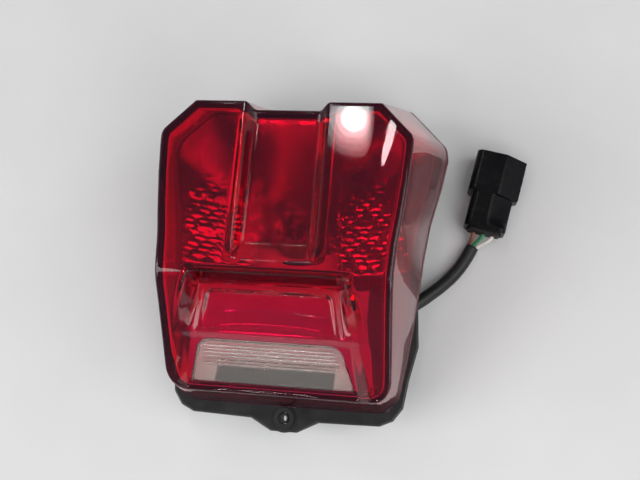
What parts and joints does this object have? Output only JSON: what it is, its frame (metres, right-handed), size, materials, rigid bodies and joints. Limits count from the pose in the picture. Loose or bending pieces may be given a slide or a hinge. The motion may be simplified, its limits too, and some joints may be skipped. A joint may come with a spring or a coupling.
{
  "type": "motorcycle tail light",
  "caption": "Motorcycle tail and brake lamp: stepped red lens with recessed centre panel and clear plate window on a black base, bayonet bulb inside, short sleeved cable with a plug.",
  "frame": {"origin": "centre of the lamp's box on the plane of the base's flat back, the cable and plug left out", "axes": "+Z out of the base toward the lens, +Y toward the wide top end, +X to the right when looking at the lens with the wide end up"},
  "size_m": [0.154, 0.1372, 0.0699],
  "materials": {
    "lens_red": "clear red acrylic",
    "window_clear": "clear acrylic",
    "base_black": "satin moulded",
    "rubber_black": "matte",
    "reflector_silver": "metallised",
    "steel_zinc": "zinc plated",
    "brass": "plain",
    "fibre_brown": "pressed fibre",
    "bulb_glass": "clear",
    "tungsten": "drawn wire",
    "solder": "dull",
    "sleeve_black": "satin",
    "plug_black": "satin moulded",
    "wire_green": "satin",
    "wire_brown": "satin",
    "wire_white": "satin"
  },
  "bodies": {
    "lamp": {"base_housing": "base_black", "lens_shell": "lens_red", "plate_window": "window_clear", "lens_gasket": "rubber_black", "reflector": "reflector_silver", "socket_shell": "steel_zinc", "socket_insulator": "fibre_brown", "contact_spring": "steel_zinc", "lens_screw_top_right": "steel_zinc", "lens_screw_top_left": "steel_zinc", "lens_screw_low_right": "steel_zinc", "lens_screw_low_left": "steel_zinc", "reflector_screw_right": "steel_zinc", "reflector_screw_left": "steel_zinc", "mount_insert_right": "brass", "mount_insert_left": "brass", "lug_bush": "rubber_black", "lug_collar": "steel_zinc", "cable_gland": "rubber_black", "cable_sleeve": "sleeve_black", "wire_brown": "wire_brown", "wire_green": "wire_green", "wire_white": "wire_white", "inner_lead_brown": "wire_brown", "inner_lead_green": "wire_green", "inner_lead_white": "wire_white", "plug_housing": "plug_black", "plug_seal": "rubber_black", "plug_blade_a": "brass", "plug_blade_b": "brass", "plug_blade_c": "brass"},
    "carriage": {"contact_plate": "fibre_brown", "contact_pad_a": "brass", "contact_pad_b": "brass"},
    "bulb": {"bulb_contact_a": "solder", "bulb_contact_b": "solder", "bulb_disc": "bulb_glass", "bulb_cap": "brass", "bulb_glass": "bulb_glass", "bulb_stem": "bulb_glass", "filament_stop": "tungsten", "filament_tail": "tungsten"}
  },
  "joints": [
    {"name": "bulb_push", "type": "slide", "parent": "lamp", "child": "carriage", "axis": [0, 0, -1], "range_m": [0, 0.002], "stiffness_N_per_m": 1500, "springref_m": -0.004, "deforming": ["contact_spring"]},
    {"name": "bulb_twist", "type": "hinge", "parent": "carriage", "child": "bulb", "pos_m": [0, 0.01, 0.016], "axis": [0, 0, 1], "range_deg": [0, 25]}
  ]
}
